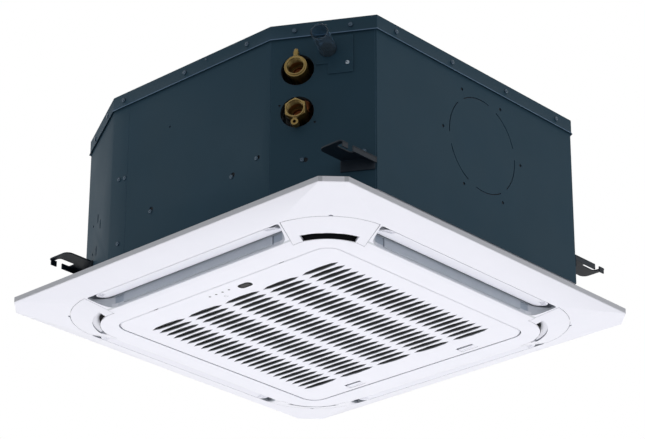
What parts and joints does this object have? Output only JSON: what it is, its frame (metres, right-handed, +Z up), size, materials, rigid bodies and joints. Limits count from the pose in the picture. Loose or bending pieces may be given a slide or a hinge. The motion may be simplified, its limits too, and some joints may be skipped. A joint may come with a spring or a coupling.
{
  "type": "ceiling cassette air conditioner",
  "caption": "Compact four-way chilled-water ceiling cassette: steel body with hanger hooks and brass unions over a white panel with louvres and hinged intake grille.",
  "frame": {"origin": "centre of the panel on the ceiling plane, where the rim of the panel meets the ceiling", "axes": "+Z up into the ceiling void, -Y towards the display edge of the grille, +X towards the fresh-air side; the pipe fittings are at the +X -Y corner"},
  "size_m": [0.647, 0.647, 0.32],
  "materials": {
    "casing_steel": "satin",
    "bracket_steel": "satin",
    "foam": "matte",
    "aluminium_fins": "satin",
    "copper_pipe": "satin",
    "brass": "satin",
    "drain_plastic": "gloss",
    "galvanised_steel": "satin",
    "black_plastic": "matte",
    "white_plastic": "matte",
    "grey_plastic": "matte",
    "dark_window": "gloss",
    "dark_foam": "matte"
  },
  "bodies": {
    "cassette": {"top_cover": "casing_steel", "front_side_plate": "casing_steel", "right_side_plate": "casing_steel", "back_side_plate": "casing_steel", "left_side_plate": "casing_steel", "pipe_corner_plate": "casing_steel", "front_left_corner_plate": "casing_steel", "back_right_corner_plate": "casing_steel", "back_left_corner_plate": "casing_steel", "hanger_bracket_1": "bracket_steel", "hanger_bracket_2": "bracket_steel", "hanger_bracket_3": "bracket_steel", "hanger_bracket_4": "bracket_steel", "foam_liner": "dark_foam", "coil": "aluminium_fins", "supply_header": "copper_pipe", "return_header": "copper_pipe", "return_union": "brass", "supply_union": "brass", "drain_pipe": "drain_plastic", "drain_cover_plate": "casing_steel", "motor_mount": "galvanised_steel", "fan_motor": "galvanised_steel", "bell_mouth": "black_plastic", "drain_pan": "foam", "control_box": "galvanised_steel", "control_box_cover": "galvanised_steel", "drain_pump": "white_plastic", "float_switch": "black_plastic", "drain_hose": "drain_plastic", "panel_frame": "white_plastic", "corner_cover_front": "white_plastic", "corner_cover_right": "white_plastic", "corner_cover_back": "white_plastic", "corner_cover_left": "white_plastic", "outlet_duct_front": "grey_plastic", "outlet_duct_right": "grey_plastic", "outlet_duct_back": "grey_plastic", "outlet_duct_left": "grey_plastic", "louvre_motor_front": "black_plastic", "louvre_motor_right": "black_plastic", "louvre_motor_back": "black_plastic", "louvre_motor_left": "black_plastic", "panel_gasket": "dark_foam"},
    "fan": {"impeller": "black_plastic", "motor_shaft": "galvanised_steel"},
    "grille": {"intake_grille": "white_plastic", "air_filter": "black_plastic", "display_housing": "black_plastic", "receiver_window": "dark_window"},
    "button": {"display_button": "white_plastic"},
    "latch_right": {"grille_latch_right": "white_plastic"},
    "latch_left": {"grille_latch_left": "white_plastic"},
    "vent_screw": {"air_vent_valve": "brass"},
    "drain_screw": {"drain_valve": "brass"},
    "float": {"switch_float": "white_plastic"},
    "blade_front": {"louvre_front": "white_plastic"},
    "blade_right": {"louvre_right": "white_plastic"},
    "blade_back": {"louvre_back": "white_plastic"},
    "blade_left": {"louvre_left": "white_plastic"}
  },
  "joints": [
    {"name": "fan_spin", "type": "hinge", "parent": "cassette", "child": "fan", "pos_m": [0.0076, 0.007, 0.16], "axis": [0, 0, 1], "continuous": true},
    {"name": "grille_hinge", "type": "hinge", "parent": "cassette", "child": "grille", "pos_m": [0, -0.188, -0.03], "axis": [-1, 0, 0], "range_deg": [0, 90]},
    {"name": "latch_right_slide", "type": "slide", "parent": "grille", "child": "latch_right", "axis": [0, -1, 0], "range_m": [0, 0.005]},
    {"name": "latch_left_slide", "type": "slide", "parent": "grille", "child": "latch_left", "axis": [0, -1, 0], "range_m": [0, 0.005]},
    {"name": "button_press", "type": "slide", "parent": "grille", "child": "button", "axis": [0, 0, 1], "range_m": [0, 0.001], "stiffness_N_per_m": 300},
    {"name": "vent_screw_turn", "type": "hinge", "parent": "cassette", "child": "vent_screw", "pos_m": [0.20121, -0.2671, 0.238], "axis": [0, 0, 1], "range_deg": [0, 360]},
    {"name": "drain_screw_turn", "type": "hinge", "parent": "cassette", "child": "drain_screw", "pos_m": [0.20219, -0.26885, 0.1287], "axis": [0.4896, -0.8719, 0], "range_deg": [0, 360]},
    {"name": "float_rise", "type": "slide", "parent": "cassette", "child": "float", "axis": [0, 0, 1], "range_m": [0, 0.012]},
    {"name": "louvre_front_swing", "type": "hinge", "parent": "cassette", "child": "blade_front", "pos_m": [0, -0.266, -0.006], "axis": [1, 0, 0], "range_deg": [0, 60]},
    {"name": "louvre_right_swing", "type": "hinge", "parent": "cassette", "child": "blade_right", "pos_m": [0.266, 0, -0.006], "axis": [0, 1, 0], "range_deg": [0, 60]},
    {"name": "louvre_back_swing", "type": "hinge", "parent": "cassette", "child": "blade_back", "pos_m": [0, 0.266, -0.006], "axis": [-1, 0, 0], "range_deg": [0, 60]},
    {"name": "louvre_left_swing", "type": "hinge", "parent": "cassette", "child": "blade_left", "pos_m": [-0.266, 0, -0.006], "axis": [0, -1, 0], "range_deg": [0, 60]}
  ],
  "couplings": [
    {"joint": "louvre_right_swing", "follows": "louvre_front_swing", "ratio": 1},
    {"joint": "louvre_back_swing", "follows": "louvre_front_swing", "ratio": 1},
    {"joint": "louvre_left_swing", "follows": "louvre_front_swing", "ratio": 1}
  ]
}
